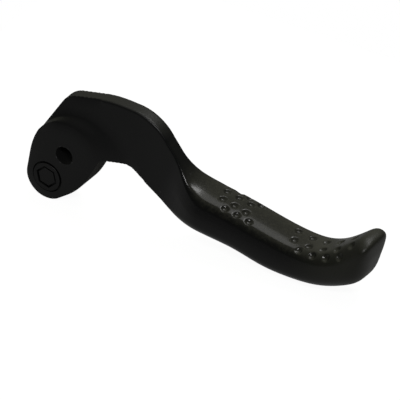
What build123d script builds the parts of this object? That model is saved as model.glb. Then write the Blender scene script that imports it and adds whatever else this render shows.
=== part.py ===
from build123d import *
import math
import os

# Lever blade of a hydraulic bicycle brake, with the pushrod barrel in its head.
# Sizes are in millimetres. X runs from the head to the tip, Y lies along the pivot, and
# +Z is the side that the finger pulls on. The origin is the middle of the pivot bore.

# Head
head_thickness = 8.6
pivot_bore_dia = 5.0
pivot_to_barrel = 10.0
barrel_bearing = 236.5
nose_wall = 2.2
pad_radius = 9.5
ramp_radius = 14.0
ramp_shift_x = 4.2
ramp_shift_z = -2.2
rim_chamfer = 0.5
bore_chamfer = 0.3

# Pushrod barrel
barrel_dia = 8.0
barrel_clearance = 0.05
barrel_recess = 0.1
hex_across_flats = 5.0
hex_depth = 1.4
hex_turn = 43.0
pushrod_tap_dia = 3.3
pushrod_tap_depth = 7.0
rod_bearing = 172.0
rod_slot_width = 5.0
rod_slot_swing = 7.6
rod_slot_corner = 1.0

# Arm
web_thickness = 4.0
edge_chamfer = 0.5

# Finger section
finger_width = 12.5
front_round = 2.4
back_round = 4.0
front_crown = 0.45
flare_start = 3.6
flare_end = 17.4
tip_width = 10.0
tip_taper = 8.0
tip_round = 1.0
tip_steps = 3
corner_share = 0.4
finger_stations = 24

# Dimples
dimple_dia = 2.3
dimple_depth = 0.6
dimple_sides = 16

barrel_x = pivot_to_barrel * math.cos(math.radians(barrel_bearing))
barrel_z = pivot_to_barrel * math.sin(math.radians(barrel_bearing))
nose_radius = barrel_dia / 2 + nose_wall

# Side outline of the head and the arm: straight runs, given by a point and a slope, with
# round corners. The rear and the underside are tangent to the nose.
rear_angle = 80.0
under_angle = 36.0
shoulder_angle = 57.4
shoulder_point = (-5.3, 9.6)
neck_front = (30.0, 12.58)
neck_back = (22.5, -1.3)


def nose_tangent(bearing):
    turn = math.radians(bearing)
    return (barrel_x + nose_radius * math.cos(turn), barrel_z + nose_radius * math.sin(turn))


def meet(point_a, slope_a, point_b, slope_b):
    ax, az = math.cos(math.radians(slope_a)), math.sin(math.radians(slope_a))
    bx, bz = math.cos(math.radians(slope_b)), math.sin(math.radians(slope_b))
    gap_x, gap_z = point_b[0] - point_a[0], point_b[1] - point_a[1]
    along = (gap_x * bz - gap_z * bx) / (ax * bz - az * bx)
    return (point_a[0] + along * ax, point_a[1] + along * az)


rear_tangent = nose_tangent(rear_angle + 90)
under_tangent = nose_tangent(under_angle - 90)
outline_corners = [
    (neck_front, 0),
    ((26.15, 18.65), 13.5),
    ((12.4, 19.5), 30.0),
    ((-0.6, 16.75), 7.0),
    (meet(rear_tangent, rear_angle, shoulder_point, shoulder_angle), 22.0),
    (meet(rear_tangent, rear_angle, under_tangent, under_angle), nose_radius),
    ((4.42, -9.17), 20.0),
    ((10.5, 1.8), 2.0),
    ((17.7, 2.2), 6.0),
    (neck_back, 0),
]

# Side view of the finger, from the neck to the tip
front_points = [
    neck_front,
    (33.0, 8.55),
    (36.8, 4.0),
    (40.6, 1.85),
    (47.0, 0.55),
    (58.0, -1.75),
    (68.0, -3.6),
    (74.0, -3.6),
    (79.5, -1.8),
    (84.3, 1.1),
    (90.45, 4.8),
]
back_points = [
    neck_back,
    (29.0, -5.6),
    (33.6, -7.75),
    (38.8, -9.0),
    (45.0, -9.85),
    (52.0, -10.85),
    (60.0, -12.75),
    (69.0, -13.45),
    (77.0, -12.9),
    (83.8, -10.6),
    (89.0, -7.3),
    (90.55, -2.6),
    (92.15, 1.7),
]

# Dimples: two groups of three rows, from the far edge to the near edge. Each row has the place
# of its first dimple and a count. Towards the tip the rows lean to the near side.
far_row_inset = 3.35
inner_group_pitch = 3.55
inner_group_inset = 2.85
inner_group_starts = (44.9, 46.0, 48.3)
inner_group_counts = (3, 3, 3)
tip_group_pitch = 4.4
tip_group_inset = 2.25
tip_group_starts = (66.3, 67.3, 70.6)
tip_group_counts = (5, 5, 4)
lean_start = 73.0
lean_angle = 9.65


def side_face():
    points = [corner for corner, radius in outline_corners]
    radii = [radius for corner, radius in outline_corners]
    edge = FilletPolyline(*points, radius=radii[1:-1])
    return Plane.XZ * make_face(edge + Line(points[-1], points[0]))


def chamfered_plate(thickness, size):
    solid = extrude(side_face(), thickness / 2, both=True)
    joint = neck_face(solid)
    rim = ShapeList()
    for flat in (solid.faces().sort_by(Axis.Y)[0], solid.faces().sort_by(Axis.Y)[-1]):
        rim += [edge for edge in flat.edges() if edge not in joint.edges()]
    return chamfer(rim, size)


def neck_face(solid):
    middle = Vector((neck_front[0] + neck_back[0]) / 2, 0, (neck_front[1] + neck_back[1]) / 2)
    return solid.faces().sort_by_distance(middle)[0]


def smooth_share(place, start, end):
    share = min(max((place - start) / (end - start), 0), 1)
    return share * share * (3 - 2 * share)


def finger_section(front, back, flare, width):
    height = (front - back).length
    crown = front_crown * flare
    across = Vector(0, 1, 0)
    plane = Plane(origin=back, x_dir=across, z_dir=across.cross(front - back))
    half = width / 2
    shoulder = height - crown
    sides = Polyline((-half, shoulder), (-half, 0), (half, 0), (half, shoulder))
    if crown > 0:
        front_edge = ThreePointArc((half, shoulder), (0, height), (-half, shoulder))
    else:
        front_edge = Line((half, height), (-half, height))
    section = make_face(sides + front_edge)
    corner_limit = corner_share * height
    front_radius = min(edge_chamfer + flare * (front_round - edge_chamfer), corner_limit)
    back_radius = min(edge_chamfer + flare * (back_round - edge_chamfer), corner_limit)
    section = fillet(section.vertices().group_by(Axis.Y)[-1], front_radius)
    section = fillet(section.vertices().group_by(Axis.Y)[0], back_radius)
    return plane * section


def tip_sections(front, back, width):
    across = Vector(0, 1, 0)
    inward = (back - front).normalized()
    outward = inward.cross(across)
    sections = []
    for step in range(1, tip_steps + 1):
        turn = math.radians(90 * step / tip_steps)
        inset = tip_round * (1 - math.cos(turn))
        reach = outward * tip_round * math.sin(turn)
        shrunk_front = front + inward * inset + reach
        shrunk_back = back - inward * inset + reach
        sections.append(finger_section(shrunk_front, shrunk_back, 1, width - 2 * inset))
    return sections


def finger(neck):
    front_line = Plane.XZ * Spline(*front_points)
    back_line = Plane.XZ * Spline(*back_points)
    full_run = front_line.length - tip_round
    sections = [neck]
    for station in range(1, finger_stations + 1):
        run = full_run * station / finger_stations
        front, back = front_line @ (run / front_line.length), back_line @ (run / front_line.length)
        flare = smooth_share(run, flare_start, flare_end)
        taper = max(1 - (full_run - run) / tip_taper, 0) ** 2
        width = web_thickness + flare * (finger_width - web_thickness) - taper * (finger_width - tip_width)
        sections.append(finger_section(front, back, flare, width))
    solid = loft(sections + tip_sections(front, back, width), ruled=True)
    return solid - dimples(solid)


def thrust_pad():
    half = head_thickness / 2
    drop = half / (half - web_thickness / 2)
    foot_radius = pad_radius + (ramp_radius - pad_radius) * drop
    face_circle = Circle(pad_radius)
    foot_circle = Pos(ramp_shift_x * drop, ramp_shift_z * drop) * Circle(foot_radius)
    near = loft([Plane.XZ.offset(half) * face_circle, Plane.XZ * foot_circle])
    far = mirror(near, Plane.XZ)
    reach = 2 * (pivot_to_barrel + nose_radius)
    nose_block = Pos(reach / 2, 0, 0) * Box(reach, head_thickness, 2 * reach)
    nose_block = Rot(0, -barrel_bearing, 0) * nose_block
    return near + far + nose_block


def bore(dia, chamfer):
    half = head_thickness / 2
    hole = Cylinder(dia / 2, head_thickness)
    mouth = Cone(dia / 2, dia / 2 + chamfer, chamfer, align=(Align.CENTER, Align.CENTER, Align.MAX))
    hole += Pos(0, 0, half) * mouth
    hole += Pos(0, 0, -half) * Rot(180, 0, 0) * mouth
    return Rot(90, 0, 0) * hole


def at_barrel(shape):
    return Pos(barrel_x, 0, barrel_z) * shape


def along_rod(shape):
    return at_barrel(Rot(0, -rod_bearing, 0) * shape)


def group_places(starts, counts, pitch, near_inset):
    far_row = finger_width / 2 - far_row_inset
    near_row = near_inset - finger_width / 2
    lean = math.tan(math.radians(lean_angle))
    places = []
    for row, start in enumerate(starts):
        across = far_row + (near_row - far_row) * row / (len(starts) - 1)
        for step in range(counts[row]):
            place = start + pitch * step
            places.append((place, across - lean * max(place - lean_start, 0)))
    return places


def dimples(solid):
    places = group_places(inner_group_starts, inner_group_counts, inner_group_pitch, inner_group_inset)
    places += group_places(tip_group_starts, tip_group_counts, tip_group_pitch, tip_group_inset)
    cup = RegularPolygon(dimple_dia / 2, dimple_sides)
    cutter = extrude(cup, dimple_depth, both=True)
    above = solid.bounding_box().max.Z + dimple_dia
    cuts = []
    for x, y in places:
        point, normal = solid.find_intersection_points(Axis((x, y, above), (0, 0, -1)))[0]
        cuts.append(Plane(origin=point, z_dir=normal) * cutter)
    return cuts


def lever_blade():
    web = chamfered_plate(web_thickness, edge_chamfer)
    head = chamfered_plate(head_thickness, rim_chamfer) & thrust_pad()
    blade = web + head + finger(neck_face(web))
    blade -= bore(pivot_bore_dia, bore_chamfer)
    blade -= at_barrel(bore(barrel_dia + 2 * barrel_clearance, bore_chamfer))
    slot = Plane.YZ * RectangleRounded(rod_slot_width, rod_slot_swing, rod_slot_corner)
    blade -= along_rod(extrude(slot, 2 * nose_radius))
    return blade


def pushrod_barrel():
    length = head_thickness - 2 * barrel_recess
    pin = Cylinder(barrel_dia / 2, length)
    pin = chamfer(pin.edges().filter_by(GeomType.CIRCLE), bore_chamfer)
    hexagon = RegularPolygon(hex_across_flats / 2, 6, major_radius=False, rotation=hex_turn)
    pin -= Pos(0, 0, length / 2 - hex_depth) * extrude(hexagon, hex_depth)
    tap = Cylinder(pushrod_tap_dia / 2, barrel_dia, align=(Align.CENTER, Align.CENTER, Align.MIN))
    tap = Pos(barrel_dia / 2 - pushrod_tap_depth, 0, 0) * Rot(0, 90, 0) * tap
    return at_barrel(Rot(90, 0, 0) * pin) - along_rod(tap)


os.makedirs("parts", exist_ok=True)
export_step(lever_blade(), "parts/lever_blade.step")
export_step(pushrod_barrel(), "parts/pushrod_barrel.step")
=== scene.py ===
import math
import bmesh
import bpy
import numpy
from mathutils import Matrix, Vector


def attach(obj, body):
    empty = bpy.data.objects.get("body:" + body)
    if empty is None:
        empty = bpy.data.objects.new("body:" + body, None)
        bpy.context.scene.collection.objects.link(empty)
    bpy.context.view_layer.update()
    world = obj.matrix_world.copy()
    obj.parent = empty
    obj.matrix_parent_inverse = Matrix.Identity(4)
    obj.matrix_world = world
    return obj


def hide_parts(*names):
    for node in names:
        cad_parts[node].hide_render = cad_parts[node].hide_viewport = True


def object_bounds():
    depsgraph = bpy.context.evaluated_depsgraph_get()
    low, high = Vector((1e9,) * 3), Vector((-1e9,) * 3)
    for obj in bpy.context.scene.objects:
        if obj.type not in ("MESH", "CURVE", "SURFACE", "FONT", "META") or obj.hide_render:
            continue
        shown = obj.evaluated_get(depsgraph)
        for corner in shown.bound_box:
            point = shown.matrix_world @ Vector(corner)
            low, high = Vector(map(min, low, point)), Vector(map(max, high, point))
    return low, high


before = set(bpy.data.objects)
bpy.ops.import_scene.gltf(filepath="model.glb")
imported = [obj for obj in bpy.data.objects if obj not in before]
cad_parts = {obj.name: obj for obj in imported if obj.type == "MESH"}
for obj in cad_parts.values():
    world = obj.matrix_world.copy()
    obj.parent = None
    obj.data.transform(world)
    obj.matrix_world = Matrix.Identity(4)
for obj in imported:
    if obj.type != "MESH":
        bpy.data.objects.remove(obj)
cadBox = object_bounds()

mm = 0.001               # the sizes below are in millimetres


def newObject(name, bm):
    mesh = bpy.data.meshes.new(name)
    bm.to_mesh(mesh)
    bm.free()
    thing = bpy.data.objects.new(name, mesh)
    bpy.context.scene.collection.objects.link(thing)
    return thing


def addNode(tree, kind, **settings):
    node = tree.nodes.new(kind)
    for name, value in settings.items():
        setattr(node, name, value)
    return node


def addModifier(thing, kind, **settings):
    modifier = thing.modifiers.new(kind.lower(), kind)
    for name, value in settings.items():
        setattr(modifier, name, value)


def applyModifiers(thing):
    shaped = thing.evaluated_get(bpy.context.evaluated_depsgraph_get())
    mesh = bpy.data.meshes.new_from_object(shaped)
    mesh.name = thing.name
    thing.modifiers.clear()
    mesh.materials.clear()
    thing.data = mesh


def dropObject(thing):
    bpy.data.meshes.remove(thing.data)


def cutAway(thing, cutters):
    for cutter in cutters:
        addModifier(thing, "BOOLEAN", object=cutter, operation="DIFFERENCE", solver="MANIFOLD")
    applyModifiers(thing)
    for cutter in cutters:
        dropObject(cutter)


def joinedObject(name, things):
    bm = bmesh.new()
    for thing in things:
        bm.from_mesh(thing.data)
        dropObject(thing)
    return newObject(name, bm)


# Head and arm: one side outline, cut to two thicknesses
side = {
    "corners": [         # the point in X and Z, and the radius of the corner there
        ((31.0, 11.0), 0),
        ((26.15, 18.65), 13.5),
        ((12.4, 19.5), 30),
        ((-0.6, 16.75), 7),
        ((-9.93, 2.36), 22),
        ((-14.28, -22.36), 6.2),
        ((4.42, -9.17), 20),
        ((10.5, 1.8), 2),
        ((17.7, 2.2), 6),
        ((23.9, -2.05), 0),
    ],
    "webThickness": 4.0,
    "headThickness": 8.6,
    "edgeRound": 0.55,
    "edgeSegments": 4,
    "arcStep": 3,        # degrees for each step around a corner
    "levelWithin": 0.1,  # an edge whose ends differ by less than this in Y belongs to a rim
}


def sidePlate(name, thickness):
    bm = bmesh.new()
    points = [Vector((x, -thickness / 2, z)) * mm for (x, z), _ in side["corners"]]
    for index, (_, radius) in enumerate(side["corners"]):
        here = points[index]
        if radius == 0:
            bm.verts.new(here)
            continue
        back = (points[index - 1] - here).normalized()
        ahead = (points[index + 1] - here).normalized()
        turn = math.pi - back.angle(ahead)
        centre = here + (back + ahead).normalized() * radius * mm / math.cos(turn / 2)
        start = bm.verts.new(here + back * radius * mm * math.tan(turn / 2))
        steps = max(2, round(math.degrees(turn) / side["arcStep"]))
        bmesh.ops.spin(bm, geom=[start], cent=centre, axis=ahead.cross(back), angle=turn, steps=steps)
    bm.faces.new(bm.verts)
    made = bmesh.ops.extrude_face_region(bm, geom=bm.faces[:])["geom"]
    lifted = [v for v in made if isinstance(v, bmesh.types.BMVert)]
    bmesh.ops.translate(bm, vec=(0, thickness * mm, 0), verts=lifted)
    bmesh.ops.recalc_face_normals(bm, faces=bm.faces)
    level = side["levelWithin"] * mm
    rim = [e for e in bm.edges if abs(e.verts[0].co.y - e.verts[1].co.y) < level]
    bmesh.ops.bevel(bm, geom=rim, offset=side["edgeRound"] * mm, segments=side["edgeSegments"], profile=0.5,
                    affect="EDGES", material=-1)
    return newObject(name, bm)


# Thick pad around the pivot: a cone on each face that runs out into the arm, and the whole nose
pad = {
    "faceRadius": 9.5,
    "footRadius": 17.91,
    "footShift": (7.85, -4.11),
    "coneSegments": 160,
    "noseBearing": 236.5,
    "softRing": (5.0, 21.0),     # around the pivot, where the ramp is blended into both faces
    "softFacing": 0.4,
    "softSteps": 400,
    "softFactor": 0.5,           # of each step, at the tip as well
}


def padCone(name, sign):
    bm = bmesh.new()
    half = side["headThickness"] / 2
    bmesh.ops.create_cone(bm, cap_ends=True, segments=pad["coneSegments"], radius1=pad["footRadius"] * mm,
                          radius2=pad["faceRadius"] * mm, depth=half * mm)
    bmesh.ops.rotate(bm, matrix=Matrix.Rotation(math.radians(90 * sign), 3, "X"), verts=bm.verts)
    foot = [v for v in bm.verts if v.co.y * sign > 0]
    bmesh.ops.translate(bm, vec=(pad["footShift"][0] * mm, 0, pad["footShift"][1] * mm), verts=foot)
    bmesh.ops.translate(bm, vec=(0, -sign * half / 2 * mm, 0), verts=bm.verts)
    return newObject(name, bm)


def headPiece(sign):
    plate = sidePlate("head_piece", side["headThickness"])
    cone = padCone("pad_cone", sign)
    addModifier(plate, "BOOLEAN", object=cone, operation="INTERSECT", solver="MANIFOLD")
    applyModifiers(plate)
    dropObject(cone)
    return plate


def nosePiece():
    plate = sidePlate("nose_piece", side["headThickness"])
    turn = math.radians(pad["noseBearing"])
    bm = bmesh.new()
    bm.from_mesh(plate.data)
    dropObject(plate)
    everything = bm.verts[:] + bm.edges[:] + bm.faces[:]
    cut = bmesh.ops.bisect_plane(bm, geom=everything, plane_co=(0, 0, 0),
                                 plane_no=(math.cos(turn), 0, math.sin(turn)), clear_inner=True)
    bmesh.ops.edgenet_fill(bm, edges=[e for e in cut["geom_cut"] if isinstance(e, bmesh.types.BMEdge)])
    bmesh.ops.recalc_face_normals(bm, faces=bm.faces)
    return newObject("nose_piece", bm)


def softenGroup(blade, weights, steps, **settings):
    group = blade.vertex_groups.new(name="softened")
    for index, weight in weights:
        group.add([index], weight, "REPLACE")
    addModifier(blade, "SMOOTH", factor=pad["softFactor"], iterations=steps, vertex_group=group.name,
                **settings)
    applyModifiers(blade)
    blade.vertex_groups.clear()


def softenRamp(blade):
    nearest, furthest = [limit * mm for limit in pad["softRing"]]
    faces = [v for v in blade.data.vertices if abs(v.normal.y) > pad["softFacing"]]
    weights = [(v.index, 1) for v in faces if nearest < v.co.xz.length < furthest]
    softenGroup(blade, weights, pad["softSteps"], use_x=False, use_z=False)


# Finger section: rounded sections between a front line and a back line in the side view
finger = {
    "front": [           # points in X and Z, from the neck to the tip
        (30.0, 12.58), (33.0, 8.55), (36.8, 4.0), (40.6, 1.85), (47.0, 0.55),
        (58.0, -1.75), (68.0, -3.6), (74.0, -3.6), (79.5, -1.8),
        (84.3, 1.3), (87.0, 3.4), (89.4, 4.95), (91.9, 5.1),
    ],
    "back": [
        (22.5, -1.3), (29.0, -5.6), (33.6, -7.75), (38.8, -9.0), (45.0, -9.85),
        (52.0, -10.85), (60.0, -12.75), (69.0, -13.45), (77.0, -12.9),
        (83.8, -10.8), (88.8, -7.5), (90.8, -2.8), (92.4, 2.2),
    ],
    "linePoints": 2000,          # even places along each line
    "lineDetail": 4000,          # the places that its length is measured by
    "stations": 130,
    "ringCorner": 0.5,           # of the square, from -1 to 1, that each section is fitted from
    "ringSegments": 10,
    "ringCuts": 6,
    "width": 12.5,
    "flareRun": (3.6, 17.4),     # along the front line, from the arm's thickness to the full width
    "corners": [(1.4, 1.6), (4.0, 4.0)],         # front and back, across and up
    "thumbCorners": [(4.4, 3.4), (5.1, 5.2)],    # the same at the tip
    "cornerShares": [0.42, 0.55],                # most of the height that each may take
    "widestCorner": 0.48,                        # most of the width
    "thumbRun": (42.0, 66.0),                    # where the corners grow
    "farThumb": 0.3,                             # how much of that the far side gets
    "crown": 0.7,
    "crownPower": 2.5,
    "shoulderDrop": 0.45,
    "fullHeight": 6.0,           # a lower section has less crown
    "nearLean": 0.28,            # inward slope of the near side above leanFrom
    "leanFrom": 5.4,             # below the shoulder
    "leanEase": 0.8,             # how gently it begins
    "tipWidth": 11.4,
    "tipTaper": 8.0,
    "tipRun": 3.0,               # the round end
    "tipEnd": 86,                # degrees around it, where it is closed
    "tipMiddle": 0.45,           # where its lines meet, from front to back
    "tipFullness": 0.42,
    "tipSteps": 18,
    "softTip": (86.0, 89.5),     # where the end is blended further
    "softSteps": 60,
}


def splineLine(points, count):
    # a natural cubic spline through the points, read at even lengths
    places = numpy.array(points)
    chord = numpy.concatenate(([0], numpy.cumsum(numpy.hypot(*numpy.diff(places, axis=0).T))))
    gap = numpy.diff(chord)[:, None]
    slope = numpy.diff(places, axis=0) / gap
    system = numpy.eye(len(places))
    bend = numpy.zeros_like(places)
    for row in range(1, len(places) - 1):
        system[row, row - 1:row + 2] = gap[row - 1, 0], 2 * (gap[row - 1, 0] + gap[row, 0]), gap[row, 0]
        bend[row] = 6 * (slope[row] - slope[row - 1])
    bend = numpy.linalg.solve(system, bend)
    fine = numpy.linspace(0, chord[-1], finger["lineDetail"])
    span = numpy.clip(numpy.searchsorted(chord, fine, side="right") - 1, 0, len(gap) - 1)
    after, before = fine[:, None] - chord[span, None], chord[span + 1, None] - fine[:, None]
    width = gap[span]
    line = (bend[span] * before ** 3 + bend[span + 1] * after ** 3) / (6 * width)
    line += (places[span] / width - bend[span] * width / 6) * before
    line += (places[span + 1] / width - bend[span + 1] * width / 6) * after
    length = numpy.concatenate(([0], numpy.cumsum(numpy.hypot(*numpy.diff(line, axis=0).T))))
    even = numpy.linspace(0, length[-1], count)
    return numpy.stack([numpy.interp(even, length, line[:, axis]) for axis in (0, 1)], 1), length[-1]


def smoothShare(place, start, end):
    share = min(max((place - start) / (end - start), 0), 1)
    return share * share * (3 - 2 * share)


def sectionRing():
    bm = bmesh.new()
    corner = finger["ringCorner"]
    bmesh.ops.create_grid(bm, x_segments=1, y_segments=1, size=1)
    bmesh.ops.bevel(bm, geom=bm.verts[:], offset=corner, segments=finger["ringSegments"], profile=0.5,
                    affect="VERTICES", material=-1)
    straight = [e for e in bm.edges if e.calc_length() > corner]
    bmesh.ops.subdivide_edges(bm, edges=straight, cuts=finger["ringCuts"])
    bm.faces.ensure_lookup_table()
    return bm


def fitCorner(place, half, radius):
    corner = finger["ringCorner"]
    flat = 1 - corner
    if abs(place) <= flat:
        return place / flat * (half - radius)
    return math.copysign(half - radius + (abs(place) - flat) / corner * radius, place)


def placeSection(verts, ring, front, back, width, flare, thumb):
    tall = (front - back).length
    rise = (front - back) / tall
    edge = side["edgeRound"]
    heightShare = min(tall / finger["fullHeight"], 1)
    crown = finger["crown"] * flare * heightShare
    shoulder = tall - finger["shoulderDrop"] * flare * heightShare
    for vert, (across, up) in zip(verts, ring):
        end = 0 if up > 0 else 1
        grown = thumb if across < 0 else thumb * finger["farThumb"]
        sizes = [a + grown * (b - a) for a, b in zip(finger["corners"][end], finger["thumbCorners"][end])]
        wide, high = [edge + flare * (size - edge) for size in sizes]
        wide = min(wide, finger["widestCorner"] * width)
        high = min(high, finger["cornerShares"][end] * tall)
        y = fitCorner(across, width / 2, wide)
        z = fitCorner(up, shoulder / 2, high) + shoulder / 2
        z += crown * (1 - abs(2 * y / width) ** finger["crownPower"]) * max(z / shoulder * 2 - 1, 0)
        if y < 0:
            above = max(z - shoulder + min(finger["leanFrom"], shoulder / 2), 0)
            y *= 1 - finger["nearLean"] * flare * above * above / (above + finger["leanEase"]) / (width / 2)
        vert.co = (back + rise * z + Vector((0, y, 0))) * mm


def linePoint(line, share):
    x, z = line[round(share * (len(line) - 1))]
    return Vector((x, 0, z))


def nextRing(ringVerts, edges):
    fresh = set(v for e in edges for v in e.verts)
    return [next(e.other_vert(v) for e in v.link_edges if e.other_vert(v) in fresh) for v in ringVerts]


def fingerPiece():
    bm = sectionRing()
    ringVerts = [loop.vert for loop in bm.faces[0].loops]
    ring = [(v.co.x, v.co.y) for v in ringVerts]
    frontLine, length = splineLine(finger["front"], finger["linePoints"])
    backLine, _ = splineLine(finger["back"], finger["linePoints"])
    fullRun = length - finger["tipRun"]
    runs = [(fullRun * station / finger["stations"], 1) for station in range(finger["stations"] + 1)]
    for step in range(1, finger["tipSteps"] + 1):
        turn = math.radians(finger["tipEnd"] * step / finger["tipSteps"])
        runs.append((fullRun + finger["tipRun"] * math.sin(turn), math.cos(turn)))
    sections = []
    for run, shrink in runs:
        front, back = [linePoint(line, run / length) for line in (frontLine, backLine)]
        middle = front.lerp(back, finger["tipMiddle"])
        flare = smoothShare(run, *finger["flareRun"])
        taper = max(1 - (length - run) / finger["tipTaper"], 0) ** 2
        width = side["webThickness"] + flare * (finger["width"] - side["webThickness"])
        width -= taper * (finger["width"] - finger["tipWidth"])
        width *= shrink ** finger["tipFullness"]
        thumb = smoothShare(run, *finger["thumbRun"])
        sections.append((middle.lerp(front, shrink), middle.lerp(back, shrink), width, flare, thumb))
    placeSection(ringVerts, ring, *sections[0])
    edges = bm.faces[0].edges[:]
    for section in sections[1:]:
        made = bmesh.ops.extrude_edge_only(bm, edges=edges)["geom"]
        edges = [e for e in made if isinstance(e, bmesh.types.BMEdge)]
        ringVerts = nextRing(ringVerts, edges)
        placeSection(ringVerts, ring, *section)
    bmesh.ops.contextual_create(bm, geom=edges)
    bmesh.ops.recalc_face_normals(bm, faces=bm.faces)
    return newObject("finger_piece", bm)


def softenTip(blade):
    shares = [(v.index, smoothShare(v.co.x / mm, *finger["softTip"])) for v in blade.data.vertices]
    softenGroup(blade, [(index, share) for index, share in shares if share > 0], finger["softSteps"])


# Dimples: a group of four rows and one of three, from the far edge to the near edge
dimples = {
    "rows": [            # the first place in X and Y, the step to the next, and the count
        ((47.1, 5.3), (3.6, -0.45), 3),
        ((45.1, 2.75), (3.59, -0.05), 3),
        ((45.95, -0.65), (3.6, -0.2), 3),
        ((48.25, -3.35), (3.59, 0.0), 3),
        ((66.7, 2.6), (4.5, -0.45), 5),
        ((67.9, -1.25), (4.55, -0.48), 5),
        ((70.8, -4.0), (4.25, -0.28), 4),
    ],
    "ballRadius": 1.42,
    "ballSegments": (24, 16),    # around and up
    "depth": 0.61,
    "castFrom": 60.0,            # the height from which each place on the front is found
}


def dimpleCutters(piece):
    bm = bmesh.new()
    bpy.context.view_layer.update()
    radius = dimples["ballRadius"]
    rise = radius - dimples["depth"]
    around, up = dimples["ballSegments"]
    for (x, y), (stepX, stepY), count in dimples["rows"]:
        for index in range(count):
            above = Vector((x + stepX * index, y + stepY * index, dimples["castFrom"])) * mm
            _, point, normal, _ = piece.ray_cast(above, (0, 0, -1))
            place = Matrix.Translation(point + normal * rise * mm)
            bmesh.ops.create_uvsphere(bm, u_segments=around, v_segments=up, radius=radius * mm, matrix=place)
    return newObject("dimple_cutters", bm)


def dimpledFinger():
    piece = fingerPiece()
    cutAway(piece, [dimpleCutters(piece)])
    return piece


# Bores through the head, and the slot that the pushrod comes in by
bores = {
    "pivot": {"place": (0, 0), "radius": 2.5, "mouth": 0.05},
    "barrel": {"place": (-5.519, -8.339), "radius": 4.02, "mouth": 0.05},   # too tight to see through
    "relief": {"place": (-5.279, -8.099), "radius": 4.4, "depth": 0.9},     # off centre, near face only
    "slotBearing": 172,
    "slotWidth": 5.0,
    "slotSwing": 7.6,
    "slotCorner": 1.0,
    "slotSegments": 6,
    "slotReach": 12.4,
    "turnSteps": 96,
    "mergeWithin": 0.01,
    "overshoot": 1.0,            # how far a cutter stands out of the head
}


def turnedShape(name, profile, place):
    bm = bmesh.new()
    verts = [bm.verts.new(Vector((x, y, 0)) * mm) for x, y in profile]
    edges = [bm.edges.new(pair) for pair in zip(verts, verts[1:])]
    bmesh.ops.spin(bm, geom=verts + edges, cent=(0, 0, 0), axis=(0, 1, 0), angle=math.tau,
                   steps=bores["turnSteps"], use_merge=True)
    bmesh.ops.remove_doubles(bm, verts=bm.verts, dist=bores["mergeWithin"] * mm)
    bmesh.ops.recalc_face_normals(bm, faces=bm.faces)
    bmesh.ops.translate(bm, vec=Vector((place[0], 0, place[1])) * mm, verts=bm.verts)
    return newObject(name, bm)


def boreCutter(bore):
    half, radius, mouth = side["headThickness"] / 2, bore["radius"], bore["mouth"]
    end, wide = half + bores["overshoot"], radius + mouth + bores["overshoot"]
    profile = [(0, -end), (wide, -end), (radius, mouth - half), (radius, half - mouth), (wide, end), (0, end)]
    return turnedShape("bore_cutter", profile, bore["place"])


def reliefCutter():
    half, radius = side["headThickness"] / 2, bores["relief"]["radius"]
    end, floor = half + bores["overshoot"], half - bores["relief"]["depth"]
    profile = [(0, -end), (radius, -end), (radius, -floor), (0, -floor)]
    return turnedShape("relief_cutter", profile, bores["relief"]["place"])


def moveToBarrel(bm, y):
    x, z = bores["barrel"]["place"]
    bmesh.ops.translate(bm, vec=Vector((x, y, z)) * mm, verts=bm.verts)


def turnToRod(bm):
    turn = Matrix.Rotation(math.radians(-bores["slotBearing"]), 3, "Y")
    bmesh.ops.rotate(bm, matrix=turn, verts=bm.verts)
    moveToBarrel(bm, 0)


def slotCutter():
    bm = bmesh.new()
    bmesh.ops.create_cube(bm, size=mm)
    bmesh.ops.scale(bm, vec=(bores["slotReach"], bores["slotWidth"], bores["slotSwing"]), verts=bm.verts)
    lengthwise = [e for e in bm.edges if abs(e.verts[0].co.x - e.verts[1].co.x) > mm]
    bmesh.ops.bevel(bm, geom=lengthwise, offset=bores["slotCorner"] * mm, segments=bores["slotSegments"],
                    profile=0.5, affect="EDGES", material=-1)
    bmesh.ops.translate(bm, vec=(bores["slotReach"] / 2 * mm, 0, 0), verts=bm.verts)
    turnToRod(bm)
    return newObject("slot_cutter", bm)


# One skin over the blade's pieces: remeshed, smoothed and grown back to its size
skin = {
    "voxel": 0.265,
    "smoothing": 8,      # steps
    "smooth": 0.5,
    "regrow": -0.52,
    "sharpAngle": 34,
}


def makeBlade():
    web = sidePlate("web_piece", side["webThickness"])
    blade = joinedObject("blade_skin", [web, headPiece(1), headPiece(-1), nosePiece(), dimpledFinger()])
    addModifier(blade, "REMESH", mode="VOXEL", voxel_size=skin["voxel"] * mm)
    addModifier(blade, "SMOOTH", factor=skin["smooth"], iterations=skin["smoothing"])
    addModifier(blade, "SMOOTH", factor=skin["regrow"], iterations=skin["smoothing"])
    applyModifiers(blade)
    softenRamp(blade)
    softenTip(blade)
    cutAway(blade, [boreCutter(bores["pivot"]), boreCutter(bores["barrel"]), reliefCutter(), slotCutter()])
    blade.data.shade_smooth()
    blade.data.set_sharp_from_angle(angle=math.radians(skin["sharpAngle"]))
    return blade


# Pushrod barrel: a turned pin with a shallow hex in its near face and a tapped hole for the rod
barrel = {
    "radius": 4.0,
    "ends": (-4.2, 4.2),
    "chamfer": 0.04,
    "hexAcross": 5.0,
    "hexTurn": 43,
    "hexHalfSide": 30,           # degrees, half of one side seen from the middle
    "hexDepth": 0.15,
    "grooveWidth": 0.5,          # centred on the hex's outline
    "grooveDepth": 0.8,
    "tapRadius": 1.65,
    "tapRun": (-3.0, 5.0),       # along the rod, from the barrel's axis
    "tapSegments": 48,
    "sharpAngle": 30,
}


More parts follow.
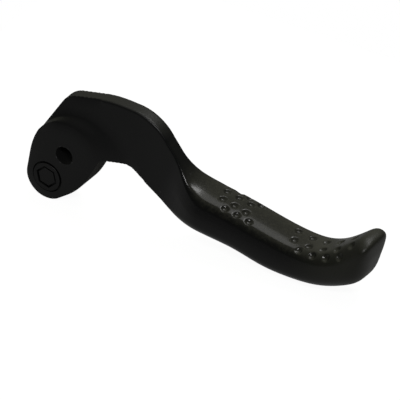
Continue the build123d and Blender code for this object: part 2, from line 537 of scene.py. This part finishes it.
def hexCutter():
    bm = bmesh.new()
    across = barrel["hexAcross"] + barrel["grooveWidth"]
    corner = across / 2 / math.cos(math.radians(barrel["hexHalfSide"])) * mm
    bmesh.ops.create_cone(bm, cap_ends=True, segments=6, radius1=corner, radius2=corner,
                          depth=2 * barrel["hexDepth"] * mm)
    foot = min(bm.faces, key=lambda f: f.calc_center_median().z)
    groove = barrel["grooveWidth"] * mm
    ring = bmesh.ops.inset_region(bm, faces=[foot], thickness=groove, use_even_offset=True)["faces"]
    made = bmesh.ops.extrude_face_region(bm, geom=ring)["geom"]
    bmesh.ops.delete(bm, geom=ring, context="FACES")
    lowered = [v for v in made if isinstance(v, bmesh.types.BMVert)]
    bmesh.ops.translate(bm, vec=(0, 0, -barrel["grooveDepth"] * mm), verts=lowered)
    bmesh.ops.recalc_face_normals(bm, faces=bm.faces)
    bmesh.ops.rotate(bm, matrix=Matrix.Rotation(math.radians(90), 3, "X"), verts=bm.verts)
    turn = math.radians(barrel["hexHalfSide"] - barrel["hexTurn"])
    bmesh.ops.rotate(bm, matrix=Matrix.Rotation(turn, 3, "Y"), verts=bm.verts)
    moveToBarrel(bm, barrel["ends"][0])
    return newObject("hex_cutter", bm)


def tapCutter():
    bm = bmesh.new()
    first, last = barrel["tapRun"]
    radius = barrel["tapRadius"] * mm
    bmesh.ops.create_cone(bm, cap_ends=True, segments=barrel["tapSegments"], radius1=radius, radius2=radius,
                          depth=(last - first) * mm)
    bmesh.ops.rotate(bm, matrix=Matrix.Rotation(math.radians(90), 3, "Y"), verts=bm.verts)
    bmesh.ops.translate(bm, vec=((first + last) / 2 * mm, 0, 0), verts=bm.verts)
    turnToRod(bm)
    return newObject("tap_cutter", bm)


def makeBarrel():
    radius, bevel = barrel["radius"], barrel["chamfer"]
    near, far = barrel["ends"]
    profile = [(0, near), (radius - bevel, near), (radius, near + bevel),
               (radius, far - bevel), (radius - bevel, far), (0, far)]
    pin = turnedShape("barrel_skin", profile, bores["barrel"]["place"])
    cutAway(pin, [hexCutter(), tapCutter()])
    pin.data.shade_smooth()
    pin.data.set_sharp_from_angle(angle=math.radians(barrel["sharpAngle"]))
    return pin


# Black alloy: satin anodised, matt on the head and smoother where fingers have rubbed it, with painted warm
# light on the finger's upward front and painted shade in the pivot bore
alloy = {
    "colourHead": (0.0030, 0.0031, 0.0031, 1),
    # the finger front colour and the mottle are handling wear and partly painted warm light from above, on
    # faces that look up
    "colourFrontWearAndWarmLight": (0.0048, 0.0048, 0.0038, 1),
    "colourTip": (0.0120, 0.0124, 0.0090, 1),
    "colourMottle": (0.0110, 0.0110, 0.0080, 1),
    "colourEdge": (0.045, 0.045, 0.046, 1),
    "colourBoreShade": (0, 0, 0, 1),
    "rubbedRun": (0.018, 0.036),     # metres along X, where it gets smoother
    "wearAndWarmLightRun": (0.031, 0.042),      # and where its front gets paler and warmer: handling wear, partly painted warm light from above
    "frontFacing": (0.2, 0.7),       # how far a face that counts as front looks up, for the wear and painted warm light
    "tipRun": (0.066, 0.082),        # metres along X, where it gets paler all round
    "dullRun": (0.079, 0.087),       # and where it gets rougher again
    "boreShadeRadius": (0.00258, 0.00252),      # metres, painted shade inside the pivot bore
    "ior": 1.33,
    "roughHead": 0.42,
    "roughFinger": 0.17,
    "roughTip": 0.36,
    "roughClouds": 0.06,
    "cloudScale": 140,
    "cloudDetail": 4,
    "mottleScale": 1300,
    "mottleDetail": 3,
    "mottleRun": (0.40, 0.70),
    "edgeRun": (0.53, 0.60),         # pointiness, where the black is rubbed off
    "edgeScale": 700,
    "edgeDetail": 4,
    "edgeBreaks": (0.42, 0.66),
    "grainScale": 5200,
    "grainDetail": 2,
    "grainHeight": 0.000010,         # metres
}


def rampNode(tree, value, limits):
    ramp = addNode(tree, "ShaderNodeMapRange", interpolation_type="SMOOTHSTEP")
    ramp.inputs["From Min"].default_value, ramp.inputs["From Max"].default_value = limits
    tree.links.new(value, ramp.inputs["Value"])
    return ramp.outputs["Result"]


def mixColour(tree, factor, first, second):
    mix = addNode(tree, "ShaderNodeMix", data_type="RGBA")
    sockets = [s for s in mix.inputs if s.type == "RGBA"]
    for socket, colour in zip(sockets, (first, second)):
        if isinstance(colour, tuple):
            socket.default_value = colour
        else:
            tree.links.new(colour, socket)
    tree.links.new(factor, mix.inputs["Factor"])
    return [s for s in mix.outputs if s.type == "RGBA"][0]


def noiseNode(tree, place, scale, detail):
    noise = addNode(tree, "ShaderNodeTexNoise")
    noise.inputs["Scale"].default_value = scale
    noise.inputs["Detail"].default_value = detail
    tree.links.new(place.outputs["Object"], noise.inputs["Vector"])
    return noise.outputs["Fac"]


def mathNode(tree, operation, *values):
    node = addNode(tree, "ShaderNodeMath", operation=operation)
    for socket, value in zip(node.inputs, values):
        if isinstance(value, float):
            socket.default_value = value
        else:
            tree.links.new(value, socket)
    return node.outputs["Value"]


def mixValue(tree, factor, first, second):
    return mathNode(tree, "MULTIPLY_ADD", factor, second - first, first)


def axisDistance(tree, place, centre):
    flat = addNode(tree, "ShaderNodeVectorMath", operation="MULTIPLY")
    tree.links.new(place.outputs["Object"], flat.inputs[0])
    flat.inputs[1].default_value = (1, 0, 1)
    away = addNode(tree, "ShaderNodeVectorMath", operation="DISTANCE")
    tree.links.new(flat.outputs["Vector"], away.inputs[0])
    away.inputs[1].default_value = Vector((centre[0], 0, centre[1])) * mm
    return away.outputs["Value"]


def addBump(tree, shader, height, distance):
    bump = addNode(tree, "ShaderNodeBump")
    bump.inputs["Strength"].default_value = 1
    bump.inputs["Distance"].default_value = distance
    tree.links.new(height, bump.inputs["Height"])
    tree.links.new(bump.outputs["Normal"], shader.inputs["Normal"])


def newMaterial(name, ior):
    material = bpy.data.materials.new(name)
    material.use_nodes = True
    tree = material.node_tree
    shader = tree.nodes["Principled BSDF"]
    shader.inputs["IOR"].default_value = ior
    return material, tree, shader, addNode(tree, "ShaderNodeTexCoord")


def makeAlloy():
    material, tree, shader, place = newMaterial("black_alloy_satin", alloy["ior"])
    axes = addNode(tree, "ShaderNodeSeparateXYZ")
    tree.links.new(place.outputs["Object"], axes.inputs["Vector"])
    rubbed = rampNode(tree, axes.outputs["X"], alloy["rubbedRun"])
    worn = rampNode(tree, axes.outputs["X"], alloy["tipRun"])
    # painted shade: the inside of the pivot bore is made black and fully rough
    boreShade = rampNode(tree, axisDistance(tree, place, bores["pivot"]["place"]), alloy["boreShadeRadius"])
    mottleNoise = noiseNode(tree, place, alloy["mottleScale"], alloy["mottleDetail"])
    mottle = rampNode(tree, mottleNoise, alloy["mottleRun"])
    point = addNode(tree, "ShaderNodeNewGeometry").outputs["Pointiness"]
    edgeNoise = noiseNode(tree, place, alloy["edgeScale"], alloy["edgeDetail"])
    breaks = rampNode(tree, edgeNoise, alloy["edgeBreaks"])
    edges = mathNode(tree, "MULTIPLY", rampNode(tree, point, alloy["edgeRun"]), breaks)
    facing = addNode(tree, "ShaderNodeSeparateXYZ")
    tree.links.new(place.outputs["Normal"], facing.inputs["Vector"])
    front = rampNode(tree, facing.outputs["Z"], alloy["frontFacing"])
    # the finger's upward front gets a paler, warmer colour, with random mottle inside it: partly handling
    # wear, partly painted warm light from above
    wearAndWarmLight = mathNode(tree, "MULTIPLY", rampNode(tree, axes.outputs["X"], alloy["wearAndWarmLightRun"]), front)
    colour = mixColour(tree, wearAndWarmLight, alloy["colourHead"], alloy["colourFrontWearAndWarmLight"])
    colour = mixColour(tree, worn, colour, alloy["colourTip"])
    colour = mixColour(tree, mathNode(tree, "MULTIPLY", mottle, wearAndWarmLight), colour, alloy["colourMottle"])
    colour = mixColour(tree, edges, colour, alloy["colourEdge"])
    # painted shade in the pivot bore
    colour = mixColour(tree, boreShade, colour, alloy["colourBoreShade"])
    tree.links.new(colour, shader.inputs["Base Color"])
    gloss = mixValue(tree, rubbed, alloy["roughHead"], alloy["roughFinger"])
    dull = rampNode(tree, axes.outputs["X"], alloy["dullRun"])
    gloss = mathNode(tree, "MULTIPLY_ADD", dull, alloy["roughTip"] - alloy["roughFinger"], gloss)
    clouds = noiseNode(tree, place, alloy["cloudScale"], alloy["cloudDetail"])
    gloss = mathNode(tree, "MULTIPLY_ADD", clouds, alloy["roughClouds"], gloss)
    tree.links.new(mathNode(tree, "MAXIMUM", gloss, boreShade), shader.inputs["Roughness"])
    grain = noiseNode(tree, place, alloy["grainScale"], alloy["grainDetail"])
    addBump(tree, shader, grain, alloy["grainHeight"])
    return material


# Black oxide on turned steel, with faint rings from the lathe
steel = {
    "colour": (0.0020, 0.0020, 0.0022, 1),
    "colourPale": (0.0042, 0.0042, 0.0044, 1),
    "patchScale": 900,
    "patchDetail": 4,
    "patchRun": (0.35, 0.70),
    "ior": 1.33,
    "rough": 0.38,
    "roughPatches": 0.12,
    "ringPitch": 0.00014,            # metres
    "ringHeight": 0.000002,
}


def makeSteel():
    material, tree, shader, place = newMaterial("black_oxide_steel", steel["ior"])
    patchNoise = noiseNode(tree, place, steel["patchScale"], steel["patchDetail"])
    patches = rampNode(tree, patchNoise, steel["patchRun"])
    colour = mixColour(tree, patches, steel["colour"], steel["colourPale"])
    tree.links.new(colour, shader.inputs["Base Color"])
    gloss = mathNode(tree, "MULTIPLY_ADD", patches, steel["roughPatches"], steel["rough"])
    tree.links.new(gloss, shader.inputs["Roughness"])
    radius = axisDistance(tree, place, bores["barrel"]["place"])
    rings = mathNode(tree, "SINE", mathNode(tree, "MULTIPLY", radius, math.tau / steel["ringPitch"]))
    addBump(tree, shader, rings, steel["ringHeight"])
    return material


bladeSkin = makeBlade()
print("blade faces", len(bladeSkin.data.polygons))
bladeSkin.data.materials.append(makeAlloy())
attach(bladeSkin, "blade")
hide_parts("lever_blade")
barrelSkin = makeBarrel()
barrelSkin.data.materials.append(makeSteel())
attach(barrelSkin, "barrel")
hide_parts("pushrod_barrel")
print("pieces made")


# Camera: a long lens above the near side, round towards the tip
view = {
    "azimuth": 33.0,
    "elevation": 32.5,
    "aim": (38.5, 0.0, -2.3),
    "width": 101.6,              # what the picture spans there
    "distance": 4000.0,
    "sensor": 36.0,
    "clip": (0.05, 20.0),        # metres
}


def makeCamera():
    data = bpy.data.cameras.new("camera")
    camera = bpy.data.objects.new("camera", data)
    bpy.context.scene.collection.objects.link(camera)
    turn, rise = math.radians(view["azimuth"]), math.radians(view["elevation"])
    away = Vector((math.sin(turn) * math.cos(rise), -math.cos(turn) * math.cos(rise), math.sin(rise)))
    camera.location = (Vector(view["aim"]) + away * view["distance"]) * mm
    camera.rotation_euler = away.to_track_quat("Z", "Y").to_euler()
    data.sensor_width = view["sensor"]
    data.lens = view["sensor"] * view["distance"] / view["width"]
    data.clip_start, data.clip_end = view["clip"]
    bpy.context.scene.camera = camera


# Floor and light
studio = {
    "floorSize": 200.0,
    "floorMiddle": 40.0,
    "floorColour": (0.10, 0.10, 0.10, 1),
    "floorWhite": 0.95,          # added where the camera looks at the floor
    "floorMirror": 0.23,         # added where a shiny surface shows the floor
    "reflectionShadeMiddle": (8.0, 34.0),   # no card: a patch behind the head where shiny surfaces see no added floor glow, a painted darker reflection
    "reflectionShadeRun": (0.028, 0.044),   # metres from its middle, from the painted darker reflection to the full glow
    "skyTowards": (-0.22, 0.40, 0.89),       # where the bright part of the sky is
    "skyDark": (0.043, 0.045, 0.047, 1),
    "skyBright": (0.480, 0.480, 0.380, 1),
    "skyMirror": 0.05,           # how much of the white a shiny surface shows
    "skyRun": (0.25, 0.88),      # how far a direction points to the bright part, from dark to bright
    "white": (1, 1, 1, 1),
    "lightAim": (55.0, 0.0, 0.0),
}


def shinyRay(tree, path):
    return mathNode(tree, "MAXIMUM", path.outputs["Is Glossy Ray"], path.outputs["Is Transmission Ray"])


def makeFloor():
    bm = bmesh.new()
    bmesh.ops.create_grid(bm, x_segments=1, y_segments=1, size=studio["floorSize"] / 2 * mm)
    bmesh.ops.translate(bm, vec=(studio["floorMiddle"] * mm, 0, cadBox[0].z), verts=bm.verts)
    floor = newObject("floor", bm)
    material = bpy.data.materials.new("pale_floor")
    material.use_nodes = True
    tree = material.node_tree
    link = tree.links.new
    shader = tree.nodes["Principled BSDF"]
    shader.inputs["Base Color"].default_value = studio["floorColour"]
    shader.inputs["Roughness"].default_value = 1
    shader.inputs["Specular IOR Level"].default_value = 0
    place = addNode(tree, "ShaderNodeTexCoord")
    # painted darker reflection: the floor's glow for shiny surfaces fades out near a point behind the head
    away = addNode(tree, "ShaderNodeVectorMath", operation="DISTANCE")
    link(place.outputs["Object"], away.inputs[0])
    away.inputs[1].default_value = Vector((*studio["reflectionShadeMiddle"], cadBox[0].z / mm)) * mm
    reflectionGlowShare = rampNode(tree, away.outputs["Value"], studio["reflectionShadeRun"])
    path = addNode(tree, "ShaderNodeLightPath")
    mirror = mathNode(tree, "MULTIPLY", shinyRay(tree, path), reflectionGlowShare)
    faint = mathNode(tree, "MULTIPLY", mirror, studio["floorMirror"])
    glow = mathNode(tree, "MULTIPLY_ADD", path.outputs["Is Camera Ray"], studio["floorWhite"], faint)
    shader.inputs["Emission Color"].default_value = studio["white"]
    link(glow, shader.inputs["Emission Strength"])
    floor.data.materials.append(material)


def makeWorld():
    world = bpy.data.worlds.new("studio")
    world.use_nodes = True
    tree = world.node_tree
    link = tree.links.new
    background = tree.nodes["Background"]
    place = addNode(tree, "ShaderNodeTexCoord")
    towards = addNode(tree, "ShaderNodeVectorMath", operation="DOT_PRODUCT")
    link(place.outputs["Generated"], towards.inputs[0])
    towards.inputs[1].default_value = studio["skyTowards"]
    share = rampNode(tree, towards.outputs["Value"], studio["skyRun"])
    sky = mixColour(tree, share, studio["skyDark"], studio["skyBright"])
    path = addNode(tree, "ShaderNodeLightPath")
    mirror = shinyRay(tree, path)
    seen = mathNode(tree, "MULTIPLY_ADD", mirror, studio["skyMirror"], path.outputs["Is Camera Ray"])
    link(mixColour(tree, seen, sky, studio["white"]), background.inputs["Color"])
    bpy.context.scene.world = world


lights = {               # direction from the aim, distance, width, height and radiance
    "softbox_above": ((0.00, 0.38, 0.92), 600, 480, 320, 1.8),
    "lamp_right": ((0.20, 0.44, 0.87), 650, 240, 120, 8.5),
    "lamp_front": ((0.33, -0.58, 0.69), 800, 380, 70, 34.0),
}


def makeLight(name, towards, distance, width, height, radiance):
    aim = Vector(studio["lightAim"]) * mm
    data = bpy.data.lights.new(name, "AREA")
    data.shape = "RECTANGLE"
    data.size, data.size_y = width * mm, height * mm
    data.energy = radiance * math.pi * data.size * data.size_y
    light = bpy.data.objects.new(name, data)
    light.location = aim + Vector(towards).normalized() * distance * mm
    light.rotation_euler = (light.location - aim).to_track_quat("Z", "Y").to_euler()
    bpy.context.scene.collection.objects.link(light)


makeCamera()
makeFloor()
makeWorld()
for name, settings in lights.items():
    makeLight(name, *settings)
bpy.context.scene.view_settings.view_transform = "Standard"
print("studio made")
